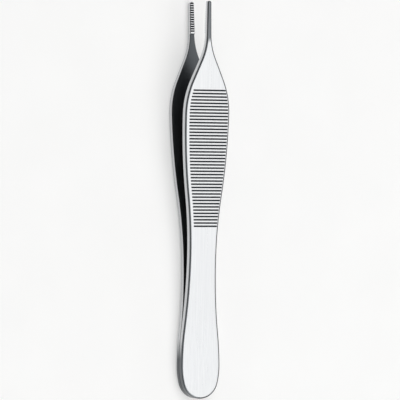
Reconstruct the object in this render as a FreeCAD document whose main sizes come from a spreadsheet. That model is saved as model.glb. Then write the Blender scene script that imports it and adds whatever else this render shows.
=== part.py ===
import FreeCAD, Part
import Sketcher
import math
import os

# Thumb forceps: two spring steel arms, welded face to face at the heel and
# standing open at the tips. All sizes are in millimetres and degrees.
#
# Each arm is modelled in a frame of its own: X across the arm, Y along it from
# the heel towards the tip, Z out of the finger plate. The plate and the jaw are
# straight along Y, and the heel is bent up from them by the opening angle, so
# that the heels of the two arms lie flat on each other once both are in place.
#
# The finished forceps lies on its lower arm, with Y towards the tips, and its
# origin is under the middle of its bounding box.

SIZES = {
    # Plan view: stations along the arm and half widths there
    "arm_length": 120.0,
    "heel_side_radius": 20.3,
    "heel_station": 9.8,
    "heel_half_width": 6.55,
    "heel_bend_station": 20.1,
    "waist_station": 42.5,
    "waist_half_width": 4.55,
    "grip_bend_station": 61.5,
    "front_length": 34.2,
    "grip_half_width": 7.5,
    "shoulder_radius": 25.0,
    "flank_angle": 24.3,
    "throat_radius": 18.5,
    "tip_taper": 0.75,
    "tip_radius": 0.66,
    # Side view
    "weld_length": 18.0,
    "spring_radius": 200.0,
    "opening_angle": 3.2,
    "heel_thickness": 1.8,
    "plate_thickness": 2.0,
    "neck_lead": 11.2,
    "neck_angle": 2.45,
    "neck_radius": 150.0,
    # Rounded outer rim and bevelled inner rim
    "edge_round": 0.5,
    "edge_bevel": 0.12,
    # Grip grooves across the finger plate
    "groove_lead": 33.95,
    "groove_pitch": 0.975,
    "groove_count": 43,
    "groove_width": 0.5,
    "groove_depth": 0.3,
    "groove_left_margin": 1.3,
    "groove_right_margin": 0.6,
    # Jaw pad and its cross teeth
    "jaw_setback": 0.25,
    "jaw_rise": 0.35,
    "tooth_heel_margin": 0.35,
    "tooth_tip_margin": 0.48,
    "tooth_count": 13,
    "tooth_depth": 0.25,
    "tooth_angle": 90.0,
}

MIDDLE = FreeCAD.Vector(0, 0, 0)
UP = FreeCAD.Vector(0, 0, 1)


def add_sheet(doc):
    """Spreadsheet with one row for each size: its name and its value."""
    sheet = doc.addObject("Spreadsheet::Sheet", "Sizes")
    for row, (name, value) in enumerate(SIZES.items(), start=1):
        sheet.set(f"A{row}", name)
        sheet.set(f"B{row}", str(value))
        sheet.setAlias(f"B{row}", name)
    doc.recompute()
    return sheet


def point(across, along):
    return FreeCAD.Vector(across, along, 0)


def turned(angle):
    """Unit vector at this angle in degrees from the first sketch axis."""
    return point(math.cos(math.radians(angle)), math.sin(math.radians(angle)))


class Drawing:
    """Lines and arcs drawn end to end, with their joints and dimensions."""

    def __init__(self):
        self.curves = []
        self.joints = []
        self.sizes = []
        self.measures = []
        self.here = None
        self.first = None
        self.last = None

    def start(self, place):
        self.here = place
        self.last = None

    def line(self, finish, smooth=False):
        self.curves.append(Part.LineSegment(self.here, finish))
        return self.join(1, 2, finish, smooth)

    def arc(self, centre, finish, smooth=True):
        begin = self.here - centre
        end = finish - centre
        anticlockwise = begin.cross(end).z > 0
        low, high = (begin, end) if anticlockwise else (end, begin)
        circle = Part.Circle(centre, UP, begin.Length)
        self.curves.append(Part.ArcOfCircle(circle, math.atan2(low.y, low.x), math.atan2(high.y, high.x)))
        ends = (1, 2) if anticlockwise else (2, 1)
        return self.join(*ends, finish, smooth)

    def join(self, start_end, finish_end, finish, smooth):
        """Join the newest curve to the one before, and return its number."""
        number = len(self.curves) - 1
        if self.last:
            self.fix("Tangent" if smooth else "Coincident", *self.last, number, start_end)
        else:
            self.first = (number, start_end)
        self.last = (number, finish_end)
        self.here = finish
        return number

    def close(self):
        self.fix("Coincident", *self.last, *self.first)

    def fix(self, kind, *where):
        self.joints.append(Sketcher.Constraint(kind, *where))

    def dimension(self, kind, *where, size):
        """Keep a dimension, whose value follows a formula of sizes on the sheet."""
        self.sizes.append((kind, where, size))

    def measure(self, name, kind, *where):
        """Keep a measured distance under a name, for other sketches to follow."""
        self.measures.append((name, kind, where))

    def put_in(self, sketch):
        sketch.addGeometry(self.curves, False)
        sketch.addConstraint(self.joints)
        first = len(self.joints)
        values = []
        for kind, where, size in self.sizes:
            value = sketch.evalExpression(size)
            values.append(Sketcher.Constraint(kind, *where, math.radians(value) if kind == "Angle" else value))
        if values:
            sketch.addConstraint(values)
        for number, (kind, where, size) in enumerate(self.sizes, start=first):
            sketch.setExpression(f"Constraints[{number}]", f"({size}) * 1deg" if kind == "Angle" else size)
        for name, kind, where in self.measures:
            number = sketch.addConstraint(Sketcher.Constraint(kind, *where, 1.0))
            sketch.setDriving(number, False)
            sketch.renameConstraint(number, name)


def add_sketch(body, name, role):
    """Sketch on one of the body's own origin planes."""
    planes = {plane.Role: plane for plane in body.Origin.OriginFeatures}
    sketch = body.newObject("Sketcher::SketchObject", name)
    sketch.AttachmentSupport = (planes[role], [""])
    sketch.MapMode = "FlatFace"
    return sketch


def arcs_between(narrow, wide, bend_station):
    """The two arcs that join a narrow and a wide place of the plan.

    Both run straight along the arm at their own end, and they meet tangent at the
    bend's station. Returns the hollow arc's centre, the point where the arcs meet
    and the full arc's centre.
    """
    rise = wide.x - narrow.x
    run = wide.y - narrow.y
    both_radii = (rise ** 2 + run ** 2) / (2 * rise)
    share = (bend_station - narrow.y) / run
    hollow = narrow + point(both_radii * share, 0)
    full = wide - point(both_radii * (1 - share), 0)
    return hollow, hollow + (full - hollow) * share, full


def grip_place(size):
    """Widest place of the grip, which stands the front length back from the tip."""
    return point(size.grip_half_width, size.arm_length - size.front_length)


def throat_place(size):
    """Centre of the throat arc, which stands its radius outside both the flank and the tip's side."""
    shoulder = grip_place(size) - point(size.shoulder_radius, 0)
    flank_out = turned(size.flank_angle)
    tip_out = turned(size.tip_taper)
    tip = point(0, size.arm_length - size.tip_radius)
    flank_reach = shoulder.dot(flank_out) + size.shoulder_radius + size.throat_radius
    tip_reach = tip.dot(tip_out) + size.tip_radius + size.throat_radius
    spread = flank_out.cross(tip_out).z
    return point(
        (flank_reach * tip_out.y - tip_reach * flank_out.y) / spread,
        (tip_reach * flank_out.x - flank_reach * tip_out.x) / spread,
    )


def plate_end(size):
    """Where the plate's outer face starts to fall along the neck."""
    return grip_place(size).y + size.neck_lead


def jaw_station(size):
    """Where the jaw's face starts: past the throat's end, a setback and the ramp."""
    throat_end = throat_place(size) - turned(size.tip_taper) * size.throat_radius
    return throat_end.y + size.jaw_setback + size.jaw_rise


def tooth_spacing(size):
    """Spacing that spreads the teeth of both arms evenly, between the margins of the jaw's face.

    The lower arm's teeth stand half a space nearer the tip.
    """
    length = size.arm_length - jaw_station(size) - size.tooth_heel_margin - size.tooth_tip_margin
    return length / (size.tooth_count - 0.5)


def draw_outline(size):
    """Waste outside the right half of the plan, from the nose to the tip."""
    margin = size.heel_half_width
    heel_widest = point(size.heel_half_width, size.heel_station)
    waist = point(size.waist_half_width, size.waist_station)
    grip_widest = grip_place(size)

    # The nose arc starts on the axis, square to it, and runs smoothly into the heel's side arc
    side = heel_widest - point(size.heel_side_radius, 0)
    squares = size.heel_half_width * (2 * size.heel_side_radius - size.heel_half_width) - size.heel_station ** 2
    nose_radius = squares / (2 * (size.heel_side_radius - size.heel_station))
    nose = point(0, nose_radius)
    nose_end = nose + (nose - side).normalize() * nose_radius

    heel_hollow, heel_bend, heel_full = arcs_between(waist, heel_widest, size.heel_bend_station)
    grip_hollow, grip_bend, grip_full = arcs_between(waist, grip_widest, size.grip_bend_station)

    # Flank: a straight run from the shoulder arc to the throat arc
    shoulder = grip_widest - point(size.shoulder_radius, 0)
    flank_out = turned(size.flank_angle)
    flank_start = shoulder + flank_out * size.shoulder_radius
    tip = point(0, size.arm_length - size.tip_radius)
    tip_out = turned(size.tip_taper)
    tip_end = tip + tip_out * size.tip_radius
    throat = throat_place(size)
    flank_end = throat - flank_out * size.throat_radius
    tip_start = throat - tip_out * size.throat_radius

    plan = Drawing()
    plan.start(point(0, 0))
    nose_arc = plan.arc(nose, nose_end)
    side_arc = plan.arc(side, heel_widest)
    heel_point = plan.last
    plan.arc(heel_full, heel_bend)
    heel_bend_point = plan.last
    heel_hollow_arc = plan.arc(heel_hollow, waist)
    waist_point = plan.last
    plan.arc(grip_hollow, grip_bend)
    grip_bend_point = plan.last
    grip_full_arc = plan.arc(grip_full, grip_widest)
    grip_point = plan.last
    shoulder_arc = plan.arc(shoulder, flank_start)
    flank_line = plan.line(flank_end, smooth=True)
    throat_arc = plan.arc(throat, tip_start)
    throat_end = plan.last
    tip_line = plan.line(tip_end, smooth=True)
    tip_arc = plan.arc(tip, point(0, size.arm_length))
    tip_point = plan.last
    tip_axis = plan.line(point(0, size.arm_length + margin))
    far_line = plan.line(point(size.grip_half_width + margin, size.arm_length + margin))
    outer_line = plan.line(point(size.grip_half_width + margin, -margin))
    near_line = plan.line(point(0, -margin))
    heel_axis = plan.line(point(0, 0))
    plan.close()

    plan.fix("Coincident", *plan.first, -1, 1)
    plan.fix("PointOnObject", nose_arc, 3, -2)
    plan.fix("PointOnObject", tip_arc, 3, -2)
    plan.fix("PointOnObject", *tip_point, -2)
    plan.fix("Horizontal", side_arc, 3, *heel_point)
    plan.fix("Horizontal", heel_hollow_arc, 3, *waist_point)
    plan.fix("Horizontal", grip_full_arc, 3, *grip_point)
    for line in (tip_axis, outer_line, heel_axis):
        plan.fix("Vertical", line)
    for line in (far_line, near_line):
        plan.fix("Horizontal", line)

    plan.dimension("Radius", side_arc, size="Sizes.heel_side_radius")
    for where, name in ((heel_point, "heel"), (waist_point, "waist"), (grip_point, "grip")):
        plan.dimension("DistanceX", -1, 1, *where, size=f"Sizes.{name}_half_width")
    plan.dimension("DistanceY", -1, 1, *heel_point, size="Sizes.heel_station")
    plan.dimension("DistanceY", -1, 1, *waist_point, size="Sizes.waist_station")
    plan.dimension("DistanceY", -1, 1, *grip_point, size="Sizes.arm_length - Sizes.front_length")
    plan.dimension("DistanceY", -1, 1, *heel_bend_point, size="Sizes.heel_bend_station")
    plan.dimension("DistanceY", -1, 1, *grip_bend_point, size="Sizes.grip_bend_station")
    plan.dimension("Radius", shoulder_arc, size="Sizes.shoulder_radius")
    plan.dimension("Angle", flank_line, size="90 + Sizes.flank_angle")
    plan.dimension("Radius", throat_arc, size="Sizes.throat_radius")
    plan.dimension("Angle", tip_line, size="90 + Sizes.tip_taper")
    plan.dimension("Radius", tip_arc, size="Sizes.tip_radius")
    plan.dimension("DistanceY", -1, 1, *tip_point, size="Sizes.arm_length")
    plan.dimension("DistanceX", -1, 1, outer_line, 1, size="Sizes.grip_half_width + Sizes.heel_half_width")
    plan.dimension("DistanceY", -1, 1, outer_line, 1, size="Sizes.arm_length + Sizes.heel_half_width")
    plan.dimension("DistanceY", outer_line, 2, -1, 1, size="Sizes.heel_half_width")
    plan.measure("throat_end", "DistanceY", -1, 1, *throat_end)
    return plan


def bend_vertex(size):
    """Station where the planes of the heel's and the plate's inner faces cross."""
    half = math.radians(size.opening_angle / 2)
    return size.weld_length + size.spring_radius * math.tan(half)


def draw_profile(size, jaw_start):
    """Side view of the arm, past both of its ends, with the inner face below.

    The jaw's start is a formula, because it follows the throat's end in the plan.
    """
    angle = size.opening_angle
    ends = size.heel_half_width
    vertex = point(bend_vertex(size), 0)
    heelward = turned(180 - angle)
    heel_up = turned(90 - angle)
    tangent = size.spring_radius * math.tan(math.radians(angle / 2))

    # The outer bend's lines cross where both faces stand their thickness off
    lift = point(0, size.plate_thickness)
    gap = size.heel_thickness - size.plate_thickness * math.cos(math.radians(angle))
    outer_vertex = vertex + lift + point(gap / math.sin(math.radians(angle)), 0)

    neck_tangent = size.neck_radius * math.tan(math.radians(size.neck_angle / 2))
    neck_vertex = point(plate_end(size) + neck_tangent, size.plate_thickness)
    tipward = turned(-size.neck_angle)
    neck_length = (size.arm_length + ends - neck_vertex.x) / tipward.x
    heel_start = vertex + heelward * ((vertex.x + ends) / math.cos(math.radians(angle)))

    side = Drawing()
    side.start(heel_start)
    heel_inner = side.line(vertex + heelward * tangent)
    spring_inner = side.arc(vertex + point(tangent, size.spring_radius), vertex + point(tangent, 0))
    bend_end = side.last
    plate_inner = side.line(point(jaw_station(size) - size.jaw_rise, 0), smooth=True)
    jaw_ramp = side.line(point(jaw_station(size), -size.jaw_rise))
    jaw_point = side.last
    jaw_face = side.line(point(size.arm_length + ends, -size.jaw_rise))
    tip_end = side.line(neck_vertex + tipward * neck_length)
    neck_face = side.line(neck_vertex + tipward * neck_tangent)
    neck = side.arc(neck_vertex - point(neck_tangent, size.neck_radius), neck_vertex - point(neck_tangent, 0))
    plate_point = side.last
    plate_outer = side.line(outer_vertex + point(tangent, 0), smooth=True)
    spring_outer = side.arc(outer_vertex + point(tangent, size.spring_radius), outer_vertex + heelward * tangent)
    heel_outer = side.line(heel_start + heel_up * size.heel_thickness, smooth=True)
    heel_end = side.line(heel_start)
    side.close()

    side.fix("PointOnObject", *bend_end, -1)
    for line in (plate_inner, jaw_face, plate_outer):
        side.fix("Horizontal", line)
    side.fix("Vertical", tip_end)
    side.fix("Parallel", heel_inner, heel_outer)
    side.fix("Perpendicular", heel_inner, heel_end)

    spring_end = "Sizes.weld_length + 2 * Sizes.spring_radius * tan(Sizes.opening_angle * 0.5deg)"
    side.dimension("DistanceX", -1, 1, *bend_end, size=spring_end)
    side.dimension("Angle", heel_inner, size="-Sizes.opening_angle")
    side.dimension("Radius", spring_inner, size="Sizes.spring_radius")
    side.dimension("Radius", spring_outer, size="Sizes.spring_radius")
    side.dimension("Distance", heel_end, size="Sizes.heel_thickness")
    side.dimension("DistanceX", heel_inner, 1, -1, 1, size="Sizes.heel_half_width")
    side.dimension("Angle", jaw_ramp, size="-45")
    side.dimension("DistanceX", -1, 1, *jaw_point, size=jaw_start)
    side.dimension("DistanceY", *jaw_point, -1, 1, size="Sizes.jaw_rise")
    side.dimension("DistanceX", -1, 1, jaw_face, 2, size="Sizes.arm_length + Sizes.heel_half_width")
    side.dimension("Angle", neck_face, size="180 - Sizes.neck_angle")
    side.dimension("Radius", neck, size="Sizes.neck_radius")
    neck_start = "Sizes.arm_length - Sizes.front_length + Sizes.neck_lead"
    side.dimension("DistanceX", -1, 1, *plate_point, size=neck_start)
    side.dimension("DistanceY", -1, 1, *plate_point, size="Sizes.plate_thickness")
    return side


def half_width(size, station):
    """Half width of the finger plate at a station, from the three arcs of its side."""
    waist = point(size.waist_half_width, size.waist_station)
    widest = grip_place(size)
    hollow, meeting, full = arcs_between(waist, widest, size.grip_bend_station)
    if station < meeting.y:
        return hollow.x - math.sqrt((hollow.x - waist.x) ** 2 - (station - hollow.y) ** 2)
    centre = full.x if station < widest.y else widest.x - size.shoulder_radius
    return centre + math.sqrt((widest.x - centre) ** 2 - (station - widest.y) ** 2)


def draw_grooves(size):
    """Grip grooves, each ending short of the plate's two edges by its margins."""
    first = grip_place(size).y - size.groove_lead
    field = Drawing()
    for number in range(round(size.groove_count)):
        low = first + number * size.groove_pitch
        high = low + size.groove_width
        edge = half_width(size, (low + high) / 2)
        left = size.groove_left_margin - edge
        right = edge - size.groove_right_margin
        field.start(point(left, low))
        for corner in (point(right, low), point(right, high), point(left, high), point(left, low)):
            field.line(corner)
        field.close()
    return field


def draw_notch(size, offset):
    """Notch between two jaw teeth, its point in the jaw and its open side clear of it."""
    half = size.tooth_depth * math.tan(math.radians(size.tooth_angle / 2))
    apex = point(jaw_station(size) + size.tooth_heel_margin + offset, size.tooth_depth - size.jaw_rise)
    open_side = apex - point(0, 2 * size.tooth_depth)
    notch = Drawing()
    notch.start(apex)
    for corner in (open_side - point(2 * half, 0), open_side + point(2 * half, 0), apex):
        notch.line(corner)
    notch.close()
    return notch


def cut(body, name, sketch):
    """Pocket through everything on both sides of its sketch."""
    pocket = body.newObject("PartDesign::Pocket", name)
    pocket.Profile = sketch
    pocket.Type = "ThroughAll"
    pocket.SideType = "Symmetric"
    return pocket


def edges_of(shape, facing):
    """Names of the edges between the arm's sides and its faces that look this way."""
    rims = []
    sides = []
    for face in shape.Faces:
        low, high, near, far = face.ParameterRange
        normal = face.normalAt((low + high) / 2, (near + far) / 2)
        if abs(normal.z) < 0.1:
            sides += [edge.hashCode() for edge in face.Edges]
        elif normal.z * facing > 0:
            rims += [edge.hashCode() for edge in face.Edges]
    shared = set(rims) & set(sides)
    return [f"Edge{i}" for i, edge in enumerate(shape.Edges, start=1) if edge.hashCode() in shared]


def work_rim(body, kind, name, facing, **sizes):
    """Round or bevel the whole rim of the arm's outer (1) or inner (-1) side."""
    base = body.Tip
    rim = body.newObject(kind, name)
    rim.Base = (base, edges_of(base.Shape, facing))
    for key, formula in sizes.items():
        rim.setExpression(key, formula)


def add_arm(doc, size, name, tooth_offset):
    """One arm as a body: blank, plan outline, worked rims, grip grooves and jaw teeth."""
    body = doc.addObject("PartDesign::Body", name)
    body.Label = name
    origin = {feature.Role: feature for feature in body.Origin.OriginFeatures}

    outline = add_sketch(body, f"{name}_outline", "XY_Plane")
    draw_outline(size).put_in(outline)
    doc.recompute()

    profile = add_sketch(body, f"{name}_profile", "YZ_Plane")
    jaw_start = f"({name}_outline.Constraints.throat_end / 1mm + Sizes.jaw_setback + Sizes.jaw_rise)"
    draw_profile(size, jaw_start).put_in(profile)
    blank = body.newObject("PartDesign::Pad", f"{name}_blank")
    blank.Profile = profile
    blank.SideType = "Symmetric"
    blank.setExpression("Length", "2 * (Sizes.grip_half_width + Sizes.edge_round)")

    right_side = cut(body, f"{name}_right_side", outline)
    left_side = body.newObject("PartDesign::Mirrored", f"{name}_left_side")
    left_side.Originals = [right_side]
    left_side.MirrorPlane = (origin["YZ_Plane"], [""])
    body.Tip = left_side
    doc.recompute()

    work_rim(body, "PartDesign::Fillet", f"{name}_outer_rim", 1, Radius="Sizes.edge_round")
    doc.recompute()
    work_rim(body, "PartDesign::Chamfer", f"{name}_inner_rim", -1, Size="Sizes.edge_bevel")

    field = add_sketch(body, f"{name}_groove_field", "XY_Plane")
    field.setExpression("AttachmentOffset.Base.z", "Sizes.plate_thickness")
    draw_grooves(size).put_in(field)
    grooves = body.newObject("PartDesign::Pocket", f"{name}_grooves")
    grooves.Profile = field
    grooves.setExpression("Length", "Sizes.groove_depth")

    notch = add_sketch(body, f"{name}_notch", "YZ_Plane")
    draw_notch(size, tooth_offset).put_in(notch)
    first_notch = cut(body, f"{name}_first_notch", notch)
    teeth = body.newObject("PartDesign::LinearPattern", f"{name}_teeth")
    teeth.Originals = [first_notch]
    teeth.Direction = (origin["Y_Axis"], [""])
    toothed = f"(Sizes.arm_length - {jaw_start} - Sizes.tooth_heel_margin - Sizes.tooth_tip_margin)"
    teeth.setExpression("Length", f"{toothed} * (Sizes.tooth_count - 1) / (Sizes.tooth_count - 0.5)")
    teeth.setExpression("Occurrences", "Sizes.tooth_count")
    body.Tip = teeth
    return body


def rest_tilt(size):
    """Angle that brings the lower arm's two points of rest to one level.

    They are the rounded end of its heel and the bend between its plate and its
    neck: two circles in the side view, and the floor is their common tangent.
    """
    angle = math.radians(size.opening_angle)
    inset = size.edge_round
    depth = size.heel_thickness - inset + (bend_vertex(size) - inset) * math.sin(angle)
    heel = point(inset, depth / math.cos(angle))
    neck = point(plate_end(size), size.plate_thickness - size.neck_radius)
    apart = neck - heel
    slope = math.atan2(apart.y, apart.x) - math.asin((inset - size.neck_radius) / apart.Length)
    return size.opening_angle + math.degrees(slope)


def place(size, upper, lower):
    """Join the arms at the heel, lay them down and centre them over the origin."""
    across = FreeCAD.Vector(1, 0, 0)
    along = FreeCAD.Vector(0, 1, 0)
    vertex = FreeCAD.Vector(0, bend_vertex(size), 0)
    opened = FreeCAD.Placement(MIDDLE, FreeCAD.Rotation(across, size.opening_angle), vertex)
    turned_over = FreeCAD.Placement(MIDDLE, FreeCAD.Rotation(along, 180))
    laid = FreeCAD.Placement(MIDDLE, FreeCAD.Rotation(across, rest_tilt(size)))
    upper.Placement = laid * opened
    lower.Placement = laid * turned_over * opened
    box = Part.makeCompound([upper.Shape, lower.Shape]).optimalBoundingBox(False)
    shift = FreeCAD.Placement(-FreeCAD.Vector(box.Center.x, box.Center.y, box.ZMin), FreeCAD.Rotation())
    upper.Placement = shift * upper.Placement
    lower.Placement = shift * lower.Placement


def check(doc, bodies):
    for thing in doc.Objects:
        if "Invalid" in thing.State or "Error" in thing.State:
            raise RuntimeError(f"{thing.Name} failed: {thing.State}")
    for body in bodies:
        if body.Shape.isNull() or not body.Shape.isValid():
            raise RuntimeError(f"{body.Label} has no valid shape")


def main():
    doc = FreeCAD.newDocument("thumb_forceps")
    size = add_sheet(doc)
    upper = add_arm(doc, size, "upper_arm", 0)
    lower = add_arm(doc, size, "lower_arm", tooth_spacing(size) / 2)
    doc.recompute()
    place(size, upper, lower)
    doc.recompute()
    check(doc, [upper, lower])
    os.makedirs("parts", exist_ok=True)
    for body in (upper, lower):
        body.Shape.exportStep(f"parts/{body.Label}.step")
        print(body.Label, "volume", round(body.Shape.Volume, 3), "solids", len(body.Shape.Solids))
    box = Part.makeCompound([upper.Shape, lower.Shape]).optimalBoundingBox(False)
    print("box", round(box.XLength, 3), round(box.YLength, 3), round(box.ZLength, 3), "low", round(box.ZMin, 4))
    print("tilt", round(rest_tilt(size), 3))


main()
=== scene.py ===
import math

import bmesh
import bpy
import numpy as np
from mathutils import Matrix, Vector


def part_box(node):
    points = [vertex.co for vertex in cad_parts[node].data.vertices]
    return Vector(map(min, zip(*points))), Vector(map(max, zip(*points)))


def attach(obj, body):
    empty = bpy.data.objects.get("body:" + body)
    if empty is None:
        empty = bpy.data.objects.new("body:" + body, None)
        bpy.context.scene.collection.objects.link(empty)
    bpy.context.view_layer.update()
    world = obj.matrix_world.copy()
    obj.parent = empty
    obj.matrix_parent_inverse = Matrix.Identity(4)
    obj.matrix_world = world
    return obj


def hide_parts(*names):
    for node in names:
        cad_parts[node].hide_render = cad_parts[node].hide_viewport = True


# Thumb forceps lying on its lower arm: two spring steel arms welded face to
# face at the heel. Sizes are in millimetres and angles in degrees. Each arm is
# drawn in a frame of its own, X across, Y from heel to tip and Z out of the
# finger plate, and is then turned and set where the frame has it.

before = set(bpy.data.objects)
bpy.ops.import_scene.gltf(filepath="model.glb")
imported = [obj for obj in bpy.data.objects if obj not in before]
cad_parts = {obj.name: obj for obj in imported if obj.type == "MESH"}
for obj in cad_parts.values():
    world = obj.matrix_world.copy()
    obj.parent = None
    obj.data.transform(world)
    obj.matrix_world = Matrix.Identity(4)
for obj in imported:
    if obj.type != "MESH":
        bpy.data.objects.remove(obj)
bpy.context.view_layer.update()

# Metres in a millimetre
METRE = 0.001

# Plan view: stations along the arm and half widths there
ARM_LENGTH = 120.0
HEEL_SIDE_RADIUS = 20.3
HEEL = (6.55, 9.8)
HEEL_BEND_STATION = 20.1
WAIST = (4.55, 42.5)
GRIP_BEND_STATION = 61.5
GRIP = (7.5, 85.8)
SHOULDER_RADIUS = 25.0
FLANK_ANGLE = 24.3
THROAT_RADIUS = 18.5
TIP_TAPER = 0.75
TIP_RADIUS = 0.66

# Side view
WELD_LENGTH = 18.0
SPRING_RADIUS = 200.0
OPENING_ANGLE = 3.2
HEEL_THICKNESS = 1.8
PLATE_THICKNESS = 2.0
PLATE_END = 97.0
NECK_ANGLE = 2.45
NECK_RADIUS = 150.0

# Rounded outer rim and bevelled inner rim
EDGE_ROUND = 0.5
EDGE_BEVEL = 0.12

# Grip grooves
GROOVE_START = 51.85
GROOVE_PITCH = 0.975
GROOVE_COUNT = 43
GROOVE_WIDTH = 0.5
GROOVE_DEPTH = 0.3
GROOVE_LEFT_MARGIN = 1.3
GROOVE_RIGHT_MARGIN = 0.6

# Jaw pad and its cross teeth, which are 90 degree notches
JAW_SETBACK = 0.25
JAW_RISE = 0.35
TOOTH_HEEL_MARGIN = 0.35
TOOTH_TIP_MARGIN = 0.48
TOOTH_COUNT = 13
TOOTH_DEPTH = 0.25

# The tip's back is polished, and a painted reflection of the room's dark sides
# darkens it: its colour fades in along the end of the throat, and has taken
# over this far short of the throat's end
TIP_REFLECTION_LEAD = 0.9
TIP_REFLECTION_FADE = 1.6

# Length over which the painted shade on the heel's sides fades out, up to the weld's end
HEEL_SHADE_FADE = 6.0

# Mesh: distance between rows, rows round the nose and the tip, facets of the
# round rim, and places of the outline on which a station is looked up
ROW_SPACING = 0.7
END_ROWS = 20
RIM_FACETS = 8
LOOKUP_PLACES = 40001

# Half the gap at a doubled line, the least distance from a groove's end to the
# round rim, and the distance under which points become one
SPLIT = 0.0005
RIM_CLEARANCE = 10 * SPLIT
MERGE_DISTANCE = 4 * SPLIT

# Width of the strips that hold the flat faces beside the round rim, on the
# outer face no more than a share of its half width
SUPPORT = 0.1
SUPPORT_SHARE = 0.1

# Columns across the outer face: the weight of the groove's left end in each one
# between its ends, and the ends' places in rows with no groove, as shares of
# the half width
GROOVE_SHARES = (0.75, 0.5, 0.25)
PLAIN_LEFT = -0.8
PLAIN_RIGHT = 0.9

# Columns across the inner face, as shares of its half width
INNER_SHARES = (0.5, 0, -0.5)

# An edge at which the faces turn by more than this is drawn sharp
SHARP_ANGLE = 30.0

# Regions of an arm's surface, in the order of its materials
OUTER, RIM, SIDE, CUT, INNER = range(5)

# Grain of the steel: octaves of its noise, the span that the noise mostly
# keeps to, and the share of its lift that is drawn
GRAIN_DETAIL = 4
GRAIN_SPAN = (0.3, 0.7)
BUMP_STRENGTH = 0.5

# Board: size and octaves of its specks, and the strength by which it shows
# paler than it lights
SPECK_SIZE = 20.0
SPECK_DETAIL = 2
BOARD_GLOW = 0.38

# Half side of the floor in metres
FLOOR_HALF = 4.0

# Direction, side and distance in metres, and brightness as the steel mirrors it
SOFTBOXES = {
    "over_softbox": ((0.16, -0.1, 0.985), 0.92, 0.8, 1.38),
    "tip_softbox": ((0, 0.75, 0.66), 0.8, 1.0, 1.25),
    "heel_softbox": ((0, -0.75, 0.66), 0.8, 1.0, 1.25),
}

# Brightness of the horizon, the sky above it and the dark flags at both sides.
# The sky takes over from the horizon between two upward parts of the view's
# direction, and the flags from the sky between two sideways parts.
HORIZON_LEVEL = 0.95
SKY_LEVEL = 0.4
FLAG_LEVEL = 0.05
SKY_RISE = (0.2, 0.42)
FLAG_REACH = (0.25, 0.45)

# The drawing looks along a line turned this far about the forceps from square to
# its middle plane, with its tips up and leaning a little to the right. The
# picture's centre is level with a station of the arms, a little to their right.
VIEW_TURN = 28.0
VIEW_ROLL = 0.29
VIEW_STATION = 59.9
VIEW_WIDTH = 120.76
VIEW_OFFSET = 0.33
LENS = 400.0
SENSOR = 36.0

# Nearest and farthest distance that the camera shows, in metres
CLIP_START = 0.01
CLIP_END = 20


# Plan outline


def joined_arcs(narrow, wide, bend_station):
    """Two tangent arcs between places of the plan where the sides run straight along.

    Both radii together are (rise^2 + run^2) / (2 rise), shared out as the bend
    divides the run. Returns the hollow radius, the full radius and the most that
    the side leans.
    """
    rise = wide[0] - narrow[0]
    run = abs(wide[1] - narrow[1])
    both = (rise**2 + run**2) / (2 * rise)
    share = abs(bend_station - narrow[1]) / run
    return both * share, both * (1 - share), math.asin(run / both)


def chord(heading, curvature, travel):
    """Straight step across an arc, from its start to this far along it.

    It points along the heading plus half of the turn, and its length is travel
    times sin(h) / h for half the turn h.
    """
    turn = curvature * travel
    length = travel * np.sinc(turn / (2 * math.pi))
    direction = np.stack([np.cos(heading + turn / 2), np.sin(heading + turn / 2)], axis=-1)
    return length[..., None] * direction


def outline_pieces():
    """The right half of the plan from the nose to the tip, as tangent arcs and straight runs.

    Returns start, heading, curvature and length of each. The two straight runs,
    the flank and the tip's side, are as long as it takes to end on the axis at
    the arm's full length.
    """
    # The nose's arc is centred on the axis and touches the heel's side arc from
    # within, so their centres are the difference of their radii apart
    width, station = HEEL
    nose_radius = width * (2 * HEEL_SIDE_RADIUS - width) - station**2
    nose_radius /= 2 * (HEEL_SIDE_RADIUS - station)
    nose_turn = math.atan2(HEEL_SIDE_RADIUS - width, station - nose_radius)
    heel_hollow, heel_full, heel_lean = joined_arcs(WAIST, HEEL, HEEL_BEND_STATION)
    grip_hollow, grip_full, grip_lean = joined_arcs(WAIST, GRIP, GRIP_BEND_STATION)
    ahead = math.pi / 2
    flank = ahead + math.radians(FLANK_ANGLE)
    tip_side = ahead + math.radians(TIP_TAPER)

    # Heading at the start and end of each piece and its radius, 0 where it is straight
    table = np.array([
        (0, nose_turn, nose_radius),
        (nose_turn, ahead, HEEL_SIDE_RADIUS),
        (ahead, ahead + heel_lean, heel_full),
        (ahead + heel_lean, ahead, heel_hollow),
        (ahead, ahead - grip_lean, grip_hollow),
        (ahead - grip_lean, ahead, grip_full),
        (ahead, flank, SHOULDER_RADIUS),
        (flank, flank, 0),
        (flank, tip_side, THROAT_RADIUS),
        (tip_side, tip_side, 0),
        (tip_side, math.pi, TIP_RADIUS),
    ])
    heading, turn, radius = table[:, 0], table[:, 1] - table[:, 0], table[:, 2]
    length = np.abs(turn) * radius
    straight = np.flatnonzero(radius == 0)
    curvature = np.sign(turn) / np.where(radius == 0, 1, radius)
    gap = np.array([0, ARM_LENGTH]) - chord(heading, curvature, length).sum(axis=0)
    runs = np.array([np.cos(heading[straight]), np.sin(heading[straight])])
    length[straight] = np.linalg.solve(runs, gap)
    steps = chord(heading, curvature, length)
    start = np.cumsum(steps, axis=0) - steps
    return start, heading, curvature, length


START, HEADING, CURVATURE, LENGTH = outline_pieces()
ENDS = np.cumsum(LENGTH)
NOSE_END = ENDS[0]
TIP_ARC_START = ENDS[-2]

# The throat ends where the tip's side, the last piece but one, starts. The jaw's
# face starts a setback and its ramp past that. The teeth of both arms are spread
# between its margins: the lower arm's stand half a pitch nearer the tip.
THROAT_END = START[-2][1]
JAW_START = THROAT_END + JAW_SETBACK + JAW_RISE
TOOTH_START = JAW_START + TOOTH_HEEL_MARGIN
TOOTH_PITCH = (ARM_LENGTH - TOOTH_TIP_MARGIN - TOOTH_START) / (TOOTH_COUNT - 0.5)


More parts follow.
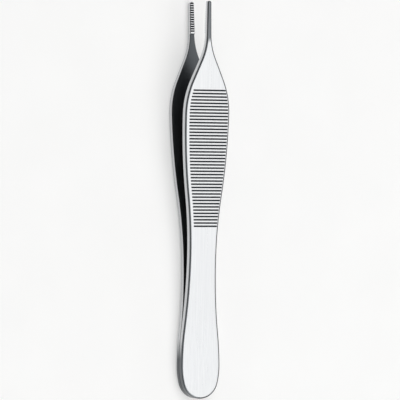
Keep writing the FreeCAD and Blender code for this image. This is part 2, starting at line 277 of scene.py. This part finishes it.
def outline(travel):
    """Place and outward direction on the right outline, at distances along it from the nose.

    The place is the piece's start plus the chord of its arc so far, and outward
    is a quarter turn to the right of the heading there.
    """
    piece = np.minimum(np.searchsorted(ENDS, travel, side="right"), len(ENDS) - 1)
    local = travel - (ENDS - LENGTH)[piece]
    place = START[piece] + chord(HEADING[piece], CURVATURE[piece], local)
    outward = HEADING[piece] + CURVATURE[piece] * local - math.pi / 2
    return place, np.stack([np.cos(outward), np.sin(outward)], axis=-1)


def travel_to(station, inset):
    """Distance along the outline of the row whose points, this far inside it, lie at the station.

    The stations of many places on the outline are worked out, and the distance
    is read between the nearest two.
    """
    travel = np.linspace(0, ENDS[-1], LOOKUP_PLACES)
    place, outward = outline(travel)
    return np.interp(station, place[:, 1] - inset * outward[:, 1], travel)


# Side view


def bend_fall(reach, radius, angle):
    """Departure of a bent face from level, this far past the start of its bend.

    It is R - sqrt(R^2 - reach^2) on the arc, and then goes on at the slope there.
    """
    lean = math.radians(angle)
    on_arc = np.clip(reach, 0, radius * math.sin(lean))
    past_arc = np.maximum(reach, on_arc) - on_arc
    return radius - np.sqrt(radius**2 - on_arc**2) + past_arc * math.tan(lean)


OPENING = math.radians(OPENING_ANGLE)

# Length of the spring bend on each side of its vertex, where the straight runs
# would meet, and the station of that vertex on the inner and the outer face
SPRING_TANGENT = SPRING_RADIUS * math.tan(OPENING / 2)
BEND_VERTEX = WELD_LENGTH + SPRING_TANGENT
OUTER_VERTEX = BEND_VERTEX + (HEEL_THICKNESS - PLATE_THICKNESS * math.cos(OPENING)) / math.sin(OPENING)


def outer_height(station):
    """Height of the outer face: the plate, bent up towards the heel and down along the neck."""
    heelward = bend_fall(OUTER_VERTEX + SPRING_TANGENT - station, SPRING_RADIUS, OPENING_ANGLE)
    tipward = bend_fall(station - PLATE_END, NECK_RADIUS, NECK_ANGLE)
    return PLATE_THICKNESS + heelward - tipward


def inner_height(station):
    """Height of the inner face, bent up towards the heel.

    The jaw's pad stands below it, behind a ramp of 45 degrees.
    """
    heelward = bend_fall(BEND_VERTEX + SPRING_TANGENT - station, SPRING_RADIUS, OPENING_ANGLE)
    return heelward - np.clip(station - JAW_START + JAW_RISE, 0, JAW_RISE)


def notch_height(station, offset):
    """Height of the notches between the teeth: a ridge that falls 1 in 1 from each notch's point."""
    first = TOOTH_START + offset
    number = np.clip(np.round((station - first) / TOOTH_PITCH), 0, TOOTH_COUNT - 1)
    return TOOTH_DEPTH - JAW_RISE - np.abs(station - first - number * TOOTH_PITCH)


# Arms


def section_rows(offset):
    """Distances along the outline at which the arm has a row.

    Rows are even, closer round the nose and the tip, and doubled a hair apart at
    both walls of each groove. The jaw has one at the point and the edges of each
    notch, and at both ends of its ramp. Returns also whether each row crosses a
    groove, and the station of the middle of the groove nearest to it.
    """
    low = GROOVE_START + GROOVE_PITCH * np.arange(GROOVE_COUNT)
    high = low + GROOVE_WIDTH
    walls = np.concatenate([low - SPLIT, low + SPLIT, high - SPLIT, high + SPLIT])

    apexes = TOOTH_START + offset + TOOTH_PITCH * np.arange(TOOTH_COUNT)
    notches = (apexes[:, None] + TOOTH_DEPTH * np.array([-1, 0, 1])).ravel()
    jaw = travel_to(np.append(notches, [JAW_START - JAW_RISE, JAW_START]), EDGE_BEVEL)
    jaw = jaw[jaw < TIP_ARC_START]

    even = np.arange(NOSE_END, TIP_ARC_START, ROW_SPACING)
    station = outline(even)[0][:, 1]
    even = even[(station < low[0] - ROW_SPACING) | (station > high[-1] + ROW_SPACING)]
    nose = np.linspace(0, NOSE_END, END_ROWS)
    tip = np.linspace(TIP_ARC_START, ENDS[-1], END_ROWS)
    travel = np.sort(np.concatenate([nose, even, travel_to(walls, EDGE_ROUND), jaw, tip]))

    place, outward = outline(travel)
    station = place[:, 1] - EDGE_ROUND * outward[:, 1]
    first_middle = low[0] + GROOVE_WIDTH / 2
    number = np.clip(np.round((station - first_middle) / GROOVE_PITCH), 0, GROOVE_COUNT - 1)
    groove_middle = first_middle + number * GROOVE_PITCH
    crossed = np.abs(station - groove_middle) < GROOVE_WIDTH / 2
    return travel, crossed, groove_middle


def groove_ends(travel, groove_middle, width):
    """Across positions of the groove's left and right ends in each row.

    Inside the field they are its margins from the edge at the groove's middle,
    a hair short of the round rim where the side leans most. Elsewhere they only
    share out the flat face, whose half width is given.
    """
    edge = outline(travel_to(groove_middle, 0))[0][:, :1]
    station = outline(travel)[0][:, 1:]
    last = GROOVE_START + GROOVE_PITCH * (GROOVE_COUNT - 1) + GROOVE_WIDTH
    inside = (station > GROOVE_START - ROW_SPACING) & (station < last + ROW_SPACING)
    left = np.where(inside, GROOVE_LEFT_MARGIN - edge, PLAIN_LEFT * width)
    short_of_rim = np.minimum(edge - GROOVE_RIGHT_MARGIN, width - RIM_CLEARANCE)
    right = np.where(inside, short_of_rim, PLAIN_RIGHT * width)
    return left, right


def arm_surface(offset):
    """Grid of points round and along one arm, in its own frame, with its material regions.

    Each row is a closed section square to the outline at its rims. Across the
    outer face it runs left to right, then round the right rim, down the side,
    over the bevel, back across the inner face and up the left side. A point of a
    rim or side is the outline's place less its inset along the outward direction.
    Where a groove crosses, the outer face drops to the groove's level floor.
    """
    travel, crossed, groove_middle = section_rows(offset)
    place, outward = outline(travel)

    # Inset from the outline and fall from the outer face, round the rim and down
    # the side's strip
    around = np.linspace(0, math.pi / 2, RIM_FACETS + 1)
    rim_inset = np.append(EDGE_ROUND * (1 - np.sin(around)), 0)
    rim_fall = np.append(EDGE_ROUND * (1 - np.cos(around)), EDGE_ROUND + SUPPORT)

    def inset_by(inset):
        """Across and along positions of the points this far inside the right outline."""
        return place[:, :1] - inset * outward[:, :1], place[:, 1:] - inset * outward[:, 1:]

    def rim(side):
        """Points of the round rim and the strip under it, on the right side for 1 or the left for -1."""
        across, along = inset_by(rim_inset)
        return side * across, along, outer_height(along) - rim_fall

    def bevel(side):
        """Points of both edges of the bevel, on the right side for 1 or the left for -1."""
        across, along = inset_by(np.array([0, EDGE_BEVEL]))
        rise = np.array([EDGE_BEVEL, 0])
        height = np.maximum(inner_height(along) + rise, notch_height(along, offset))
        return side * across, along, height

    # Outer face between the two rims, with doubled columns at the groove ends
    width, station = inset_by(EDGE_ROUND)
    left, right = groove_ends(travel, groove_middle, width)
    support = -width + np.minimum(SUPPORT, SUPPORT_SHARE * width)
    between = [left * share + right * (1 - share) for share in GROOVE_SHARES]
    columns = [support, left - SPLIT, left + SPLIT, *between, right - SPLIT, right + SPLIT]
    outer_across = np.concatenate(columns, axis=1)
    outer_along = np.repeat(station, len(columns), axis=1)
    cut = crossed[:, None] & (outer_across > left) & (outer_across < right)
    outer_top = np.where(cut, PLATE_THICKNESS - GROOVE_DEPTH, outer_height(outer_along))

    # Inner face between the two bevels
    width, station = inset_by(EDGE_BEVEL)
    inner_across = width * np.array(INNER_SHARES)
    inner_along = np.repeat(station, len(INNER_SHARES), axis=1)
    inner_top = np.maximum(inner_height(inner_along), notch_height(inner_along, offset))

    parts = [
        (outer_across, outer_along, outer_top),
        rim(1),
        bevel(1),
        (inner_across, inner_along, inner_top),
        [part[:, ::-1] for part in bevel(-1)],
        [part[:, ::-1] for part in rim(-1)],
    ]
    points = np.stack([np.concatenate(axis, axis=1) for axis in zip(*parts)], axis=-1)

    # Region of each column's faces, between it and the next column: a side has two,
    # its strip and its wall, and a bevel has one
    outer_count, inner_count = len(columns), len(INNER_SHARES)
    region = np.repeat(
        [OUTER, RIM, SIDE, RIM, INNER, RIM, SIDE, RIM, OUTER],
        [outer_count, RIM_FACETS, 2, 1, inner_count + 1, 1, 2, RIM_FACETS, 1],
    )
    regions = np.repeat(region[None], len(points) - 1, axis=0)
    in_groove = np.zeros(points.shape[:2], bool)
    in_groove[:, :outer_count] = cut
    beside = in_groove | np.roll(in_groove, -1, axis=1)
    regions[beside[:-1] | beside[1:]] = CUT

    # The jaw's face is bright between its notches, which take the grooves' painted shade
    row_middle = (points[:-1, :, 1] + points[1:, :, 1]) / 2
    jaw = (row_middle > JAW_START) & (regions == INNER)
    regions[jaw] = SIDE
    regions[jaw & (notch_height(row_middle, offset) > -JAW_RISE)] = CUT
    return points, regions


def arm_mesh(name, points, regions, turn, low_corner):
    """Mesh of an arm's grid, closed round each row, turned and set by its lowest corner.

    Points that coincide are merged: those of the nose and the tip, and those of
    doubled rows and columns where no groove parts them. The place in the arm's
    own frame is kept on each point, in millimetres, for the grain.
    """
    rows, columns, _ = points.shape
    flat = points.reshape(-1, 3)
    turned = flat @ turn.T * METRE
    turned += np.array(low_corner) - turned.min(axis=0)
    corner = np.arange(rows * columns).reshape(rows, columns)
    beside = np.roll(corner, -1, axis=1)
    quads = np.stack([corner[:-1], beside[:-1], beside[1:], corner[1:]], axis=-1).reshape(-1, 4)

    mesh = bpy.data.meshes.new(name)
    mesh.from_pydata(turned.tolist(), [], quads.tolist())
    mesh.polygons.foreach_set("material_index", regions.ravel().astype(np.int32))
    kept = mesh.attributes.new("arm_place", "FLOAT_VECTOR", "POINT")
    kept.data.foreach_set("vector", flat.ravel().astype(np.float32))

    work = bmesh.new()
    work.from_mesh(mesh)
    bmesh.ops.remove_doubles(work, verts=work.verts, dist=MERGE_DISTANCE * METRE)
    bmesh.ops.dissolve_degenerate(work, edges=work.edges, dist=SPLIT * METRE)
    bmesh.ops.recalc_face_normals(work, faces=work.faces)
    work.to_mesh(mesh)
    work.free()
    mesh.shade_smooth()
    mesh.set_sharp_from_angle(angle=math.radians(SHARP_ANGLE))
    return mesh


def turn_about(axis, degrees):
    """Rotation about one axis, as a matrix of three rows."""
    return np.array(Matrix.Rotation(math.radians(degrees), 3, axis))


def rest_tilt():
    """Angle that lays the lower arm down on its heel's rounded end and the bend at its neck.

    Both are circles in the side view, and the floor is their common tangent.
    """
    depth = HEEL_THICKNESS - EDGE_ROUND + (BEND_VERTEX - EDGE_ROUND) * math.sin(OPENING)
    heel = (EDGE_ROUND, depth / math.cos(OPENING))
    apart = (PLATE_END - heel[0], PLATE_THICKNESS - NECK_RADIUS - heel[1])
    tangent = math.asin((EDGE_ROUND - NECK_RADIUS) / math.hypot(*apart))
    slope = math.atan2(apart[1], apart[0]) - tangent
    return OPENING_ANGLE + math.degrees(slope)


# Materials


def linear(code):
    """Scene-linear colour of an sRGB hex code."""
    srgb = np.array([int(code[i : i + 2], 16) for i in (1, 3, 5)]) / 255
    value = np.where(srgb <= 0.04045, srgb / 12.92, ((srgb + 0.055) / 1.055) ** 2.4)
    return (*value, 1)


def add_node(tree, kind, inputs=None, **settings):
    """A node with its settings, its values and its links from other nodes' sockets."""
    node = tree.nodes.new(kind)
    for name, value in settings.items():
        setattr(node, name, value)
    for name, value in (inputs or {}).items():
        if isinstance(value, bpy.types.NodeSocket):
            tree.links.new(value, node.inputs[name])
        else:
            node.inputs[name].default_value = value
    return node


def new_material(name):
    """Empty node material: its tree and its output."""
    material = bpy.data.materials.new(name)
    material.use_nodes = True
    material.node_tree.nodes.clear()
    output = add_node(material.node_tree, "ShaderNodeOutputMaterial")
    return material, material.node_tree, output


def steel(name, colours, roughness, grain, bump, fade=None):
    """Bare stainless steel with one grain, drawn on the arm's own place in millimetres.

    The grain is noise of the given size across, along and out of the arm. It
    moves the colour and the roughness between their two values, and lifts the
    surface by the bump in millimetres. A fade is another colour and the stations
    along the arm where it starts and where it has taken over.
    """
    material, tree, output = new_material(name)
    place = add_node(tree, "ShaderNodeAttribute", attribute_name="arm_place").outputs["Vector"]
    sizes = {"Vector": place, "Scale": [1 / size for size in grain]}
    scaled = add_node(tree, "ShaderNodeMapping", sizes).outputs["Vector"]
    noise = {"Vector": scaled, "Scale": 1, "Detail": GRAIN_DETAIL}
    streaks = add_node(tree, "ShaderNodeTexNoise", noise).outputs["Fac"]

    dark, light = (linear(code) for code in colours)
    shades = {"Factor": streaks, "A": dark, "B": light}
    colour = add_node(tree, "ShaderNodeMix", shades, data_type="RGBA").outputs["Result"]
    if fade:
        code, starts, ends = fade
        station = add_node(tree, "ShaderNodeSeparateXYZ", {"Vector": place}).outputs["Y"]
        stretch = {"Value": station, "From Min": starts, "From Max": ends}
        share = add_node(tree, "ShaderNodeMapRange", stretch).outputs["Result"]
        shades = {"Factor": share, "A": colour, "B": linear(code)}
        colour = add_node(tree, "ShaderNodeMix", shades, data_type="RGBA").outputs["Result"]

    low, high = GRAIN_SPAN
    smooth, rough = roughness
    sheens = {"Value": streaks, "From Min": low, "From Max": high, "To Min": smooth, "To Max": rough}
    sheen = add_node(tree, "ShaderNodeMapRange", sheens).outputs["Result"]
    relief = {"Height": streaks, "Strength": BUMP_STRENGTH, "Distance": bump * METRE}
    lift = add_node(tree, "ShaderNodeBump", relief).outputs["Normal"]
    surface = {"Base Color": colour, "Roughness": sheen, "Normal": lift, "Metallic": 1}
    shader = add_node(tree, "ShaderNodeBsdfPrincipled", surface)
    tree.links.new(shader.outputs["BSDF"], output.inputs["Surface"])
    return material


def satin_face_and_tip_reflection():
    """Stainless steel, belt ground along the arm and then satin brushed.

    The eye sees a pale, even face with a faint lengthwise grain. Real grinding
    lines are about 0.05 mm apart; here they are 0.3 mm, so that they show. The
    narrow back of the tip is polished, and a darker colour is painted on it as
    the reflection of the dark sides of the room that it mirrors.
    """
    tip_reflection_full = THROAT_END - TIP_REFLECTION_LEAD
    return steel(
        "satin_face_and_tip_reflection",
        colours=("#C4C6C8", "#DFE0E1"),
        roughness=(0.27, 0.34),
        grain=(0.3, 14, 0.3),
        bump=0.0008,
        # Painted reflection: the tip's back darkens to this grey
        fade=("#6E7174", tip_reflection_full - TIP_REFLECTION_FADE, tip_reflection_full),
    )


def polished_rim_painted_reflection():
    """Stainless steel rim, rounded and polished to a mirror on a soft wheel.

    The eye sees a thin dark line, because it mirrors the dark sides of the room.
    Its colour is darker than bare steel's, a painted dark reflection, so that the
    line is as firm as drawn, and its wheel marks are drawn coarse, so that they show.
    """
    return steel(
        "polished_rim_painted_reflection",
        # Painted reflection: darker than bare steel's, so the rim reads as a dark line
        colours=("#64676A", "#737679"),
        roughness=(0.05, 0.08),
        grain=(0.8, 9, 0.8),
        bump=0.0003,
    )


def buffed_steel_and_heel_shade():
    """Stainless steel sides and jaw, buffed on a wheel: bright, with a soft mirror.

    At the heel, both arms' sides are ground flush together after welding, and a
    darker grey is painted on them there as shade, up to the weld's end.
    The wheel's marks are drawn coarse, so that they show.
    """
    return steel(
        "buffed_steel_and_heel_shade",
        colours=("#C6C8CA", "#D8D9DB"),
        roughness=(0.15, 0.2),
        grain=(0.8, 9, 0.8),
        bump=0.001,
        # Painted shade: the heel's sides darken to this grey up to the weld's end
        fade=("#66696C", WELD_LENGTH, WELD_LENGTH - HEEL_SHADE_FADE),
    )


def milled_groove_painted_shade():
    """Stainless steel grooves and notches, milled across the arm and left matt.

    The eye sees them dark, because their walls mirror each other, and their colour
    is far darker than bare steel's as painted shade in the recesses. The cutter's
    marks are drawn as 0.25 mm specks, coarser than real, so that they show.
    """
    return steel(
        "milled_groove_painted_shade",
        # Painted shade: far darker than bare steel's, for the depth of the cuts
        colours=("#26292C", "#3A3D40"),
        roughness=(0.42, 0.5),
        grain=(0.25, 0.25, 0.25),
        bump=0.004,
    )


def ground_inner_face_painted_shade():
    """Stainless steel, surface ground flat where the arms face each other.

    The eye sees a dull dark grey, because both faces are left unpolished and
    mirror each other, and their colour is darkened as painted shade from the other
    arm. Their grinding lines are drawn 0.4 mm apart, coarser than real, so that
    they show.
    """
    return steel(
        "ground_inner_face_painted_shade",
        # Painted shade from the other arm: darker than bare steel's
        colours=("#505356", "#626568"),
        roughness=(0.34, 0.42),
        grain=(0.4, 10, 0.4),
        bump=0.0015,
    )


def pale_board():
    """Matt white studio board, painted with a fine speckle that is drawn coarse.

    It keeps shadows, and it shows a little paler than it lights, to the eye and
    in what the steel mirrors.
    """
    material, tree, output = new_material("pale_board")
    rays = add_node(tree, "ShaderNodeLightPath").outputs
    seen = rays["Is Camera Ray"]
    for ray in ("Is Glossy Ray", "Is Transmission Ray"):
        seen = add_node(tree, "ShaderNodeMath", {0: seen, 1: rays[ray]}, operation="MAXIMUM").outputs[0]
    shown = add_node(tree, "ShaderNodeMath", {0: seen, 1: BOARD_GLOW}, operation="MULTIPLY").outputs[0]
    glow = add_node(tree, "ShaderNodeEmission", {"Color": (1, 1, 1, 1), "Strength": shown})

    place = add_node(tree, "ShaderNodeTexCoord").outputs["Object"]
    noise = {"Vector": place, "Scale": 1 / (SPECK_SIZE * METRE), "Detail": SPECK_DETAIL}
    speck = add_node(tree, "ShaderNodeTexNoise", noise).outputs["Fac"]
    shades = {"Factor": speck, "A": linear("#C8C8C7"), "B": linear("#CECECD")}
    colour = add_node(tree, "ShaderNodeMix", shades, data_type="RGBA").outputs["Result"]
    matt = add_node(tree, "ShaderNodeBsdfDiffuse", {"Color": colour})
    shaders = {0: matt.outputs["BSDF"], 1: glow.outputs["Emission"]}
    both = add_node(tree, "ShaderNodeAddShader", shaders)
    tree.links.new(both.outputs["Shader"], output.inputs["Surface"])
    return material


def build_arms():
    """Both arms in their finishes, where the frame has their nodes.

    Each blank is opened at the weld, the lower one is turned over, and both are
    laid down together.
    """
    finishes = [satin_face_and_tip_reflection(), polished_rim_painted_reflection(), buffed_steel_and_heel_shade(), milled_groove_painted_shade(), ground_inner_face_painted_shade()]
    opened = turn_about("X", OPENING_ANGLE)
    laid = turn_about("X", rest_tilt())
    turned_over = turn_about("Y", 180)
    for node, turn, offset in (
        ("upper_arm", laid @ opened, 0),
        ("lower_arm", laid @ turned_over @ opened, TOOTH_PITCH / 2),
    ):
        points, regions = arm_surface(offset)
        mesh = arm_mesh(f"{node}_steel", points, regions, turn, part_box(node)[0])
        for finish in finishes:
            mesh.materials.append(finish)
        piece = bpy.data.objects.new(f"{node}_steel", mesh)
        bpy.context.scene.collection.objects.link(piece)
        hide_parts(node)
        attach(piece, "root")
        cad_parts[node].data.materials.clear()
        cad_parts[node].data.materials.append(finishes[0])


# Studio


def build_floor():
    """Pale floor under the forceps."""
    signs = ((-1, -1), (1, -1), (1, 1), (-1, 1))
    corners = [(FLOOR_HALF * x, FLOOR_HALF * y, 0) for x, y in signs]
    mesh = bpy.data.meshes.new("floor")
    mesh.from_pydata(corners, [], [(0, 1, 2, 3)])
    mesh.materials.append(pale_board())
    floor = bpy.data.objects.new("floor", mesh)
    bpy.context.scene.collection.objects.link(floor)


def build_softboxes():
    """Square soft lamps over the forceps and beyond both of its ends, which its outer faces mirror."""
    for name, (toward, size, distance, level) in SOFTBOXES.items():
        lamp = bpy.data.lights.new(name, "AREA")
        lamp.shape = "SQUARE"
        lamp.size = size
        lamp.energy = math.pi * size**2 * level
        softbox = bpy.data.objects.new(name, lamp)
        toward = Vector(toward).normalized()
        softbox.location = toward * distance
        softbox.rotation_euler = toward.to_track_quat("Z", "Y").to_euler()
        bpy.context.scene.collection.objects.link(softbox)


def build_room():
    """World with a pale horizon, a dim sky above it and dark flags at both sides of the sky.

    Only the rounded rims mirror the flags, which draw a thin dark line along them.
    """
    world = bpy.data.worlds.new("studio")
    bpy.context.scene.world = world
    world.use_nodes = True
    tree = world.node_tree
    tree.nodes.clear()
    direction = add_node(tree, "ShaderNodeTexCoord").outputs["Generated"]
    parts = add_node(tree, "ShaderNodeSeparateXYZ", {"Vector": direction}).outputs
    aside = add_node(tree, "ShaderNodeMath", {0: parts["X"]}, operation="ABSOLUTE").outputs[0]
    flags = {
        "Value": aside,
        "From Min": FLAG_REACH[0],
        "From Max": FLAG_REACH[1],
        "To Min": SKY_LEVEL,
        "To Max": FLAG_LEVEL,
    }
    above = add_node(tree, "ShaderNodeMapRange", flags).outputs["Result"]
    rise = {
        "Value": parts["Z"],
        "From Min": SKY_RISE[0],
        "From Max": SKY_RISE[1],
        "To Min": HORIZON_LEVEL,
        "To Max": above,
    }
    level = add_node(tree, "ShaderNodeMapRange", rise).outputs["Result"]
    sky = add_node(tree, "ShaderNodeBackground", {"Color": (1, 1, 1, 1), "Strength": level})
    output = add_node(tree, "ShaderNodeOutputWorld")
    tree.links.new(sky.outputs["Background"], output.inputs["Surface"])


def build_camera():
    """Camera with the drawing's view, far off with a long lens."""
    tilt = math.radians(rest_tilt())
    along = Vector((0, math.cos(tilt), math.sin(tilt)))
    above = Vector((0, -math.sin(tilt), math.cos(tilt)))
    turn = math.radians(VIEW_TURN)
    toward = above * math.cos(turn) - Vector((math.sin(turn), 0, 0))
    right = along.cross(toward)
    roll = math.radians(VIEW_ROLL)
    up = along * math.cos(roll) + right * math.sin(-roll)
    side = up.cross(toward)

    # The arms meet at the upper arm's lowest line, which is the heel end of its inner face
    heel = Vector((0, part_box("lower_arm")[0][1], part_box("upper_arm")[0][2]))
    centre = heel + along * VIEW_STATION * METRE + side * VIEW_OFFSET * METRE
    distance = VIEW_WIDTH * METRE * LENS / SENSOR
    place = centre + toward * distance

    view = bpy.data.cameras.new("camera")
    view.lens = LENS
    view.sensor_width = SENSOR
    view.clip_start = CLIP_START
    view.clip_end = CLIP_END
    camera = bpy.data.objects.new("camera", view)
    camera.matrix_world = Matrix.Translation(place) @ Matrix((side, up, toward)).transposed().to_4x4()
    bpy.context.scene.collection.objects.link(camera)
    bpy.context.scene.camera = camera


build_arms()
build_floor()
build_softboxes()
build_room()
build_camera()
bpy.context.scene.view_settings.view_transform = "Standard"
